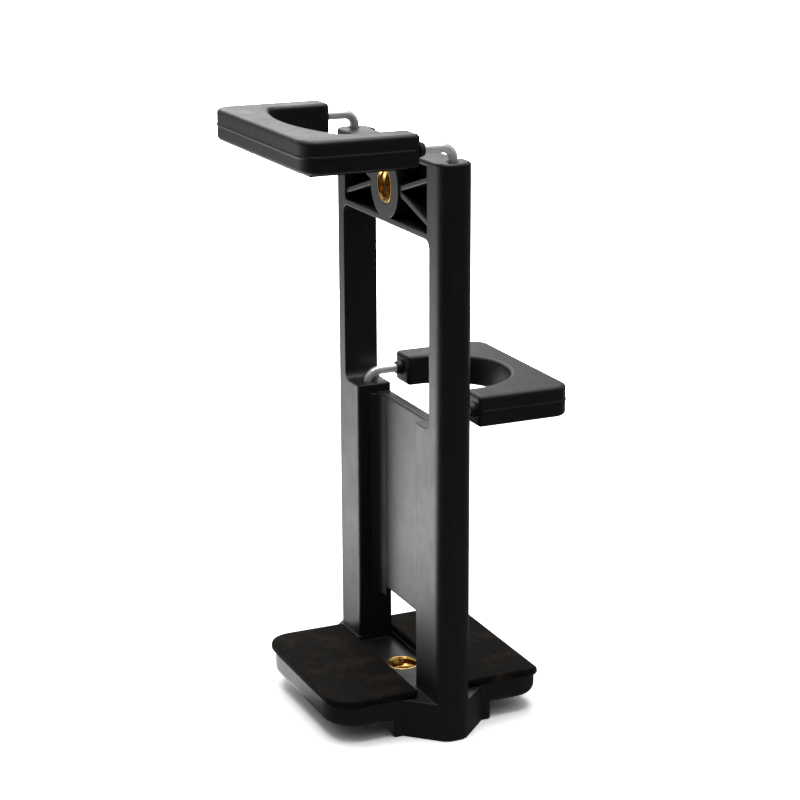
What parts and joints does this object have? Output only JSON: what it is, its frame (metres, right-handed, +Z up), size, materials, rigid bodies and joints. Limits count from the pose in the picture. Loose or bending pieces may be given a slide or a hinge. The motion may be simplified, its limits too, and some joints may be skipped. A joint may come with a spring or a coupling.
{
  "type": "tripod phone mount adapter",
  "caption": "Two-sided tripod adapter with a sprung sliding jaw for a tablet on one side, one for a phone on the other, padded foot wings and threaded inserts.",
  "frame": {"origin": "on the axis of the threaded hole in the base, at the level the foot stands on", "axes": "+Z up along the posts, X from post to post, -Y towards the upper (tablet) jaw, +Y towards the lower (phone) jaw"},
  "size_m": [0.0578, 0.0652, 0.1366],
  "materials": {
    "moulded_plastic": "black moulded plastic with a fine satin grain and slightly shiny rounded edges",
    "jaw_plastic": "black plastic moulded over the wire, satin, with a parting line round the edge",
    "bright_wire": "bright plated steel rod",
    "insert_metal": "turned brass threaded insert",
    "foam": "dense matt brown-black foam rubber",
    "spring_steel": "plain spring steel"
  },
  "bodies": {
    "frame": {"frame": "moulded_plastic", "crossbar_insert": "insert_metal", "base_insert": "insert_metal", "front_pad": "foam", "rear_pad": "foam", "upper_spring_right": "spring_steel", "upper_spring_left": "spring_steel", "lower_spring_right": "spring_steel", "lower_spring_left": "spring_steel", "upper_plug_right": "jaw_plastic", "upper_plug_left": "jaw_plastic", "lower_plug_right": "jaw_plastic", "lower_plug_left": "jaw_plastic"},
    "upper_clamp": {"upper_jaw": "jaw_plastic", "upper_wire": "bright_wire", "upper_stop_right": "spring_steel", "upper_stop_left": "spring_steel"},
    "lower_clamp": {"lower_jaw": "jaw_plastic", "lower_wire": "bright_wire", "lower_stop_right": "spring_steel", "lower_stop_left": "spring_steel"}
  },
  "joints": [
    {"name": "upper_jaw_slide", "type": "slide", "parent": "frame", "child": "upper_clamp", "axis": [0, 0, 1], "range_m": [0, 0.08], "stiffness_N_per_m": 80, "springref_m": -0.02, "deforming": ["upper_spring_right", "upper_spring_left"]},
    {"name": "lower_jaw_slide", "type": "slide", "parent": "frame", "child": "lower_clamp", "axis": [0, 0, 1], "range_m": [0, 0.035], "stiffness_N_per_m": 150, "springref_m": -0.015, "deforming": ["lower_spring_right", "lower_spring_left"]}
  ]
}
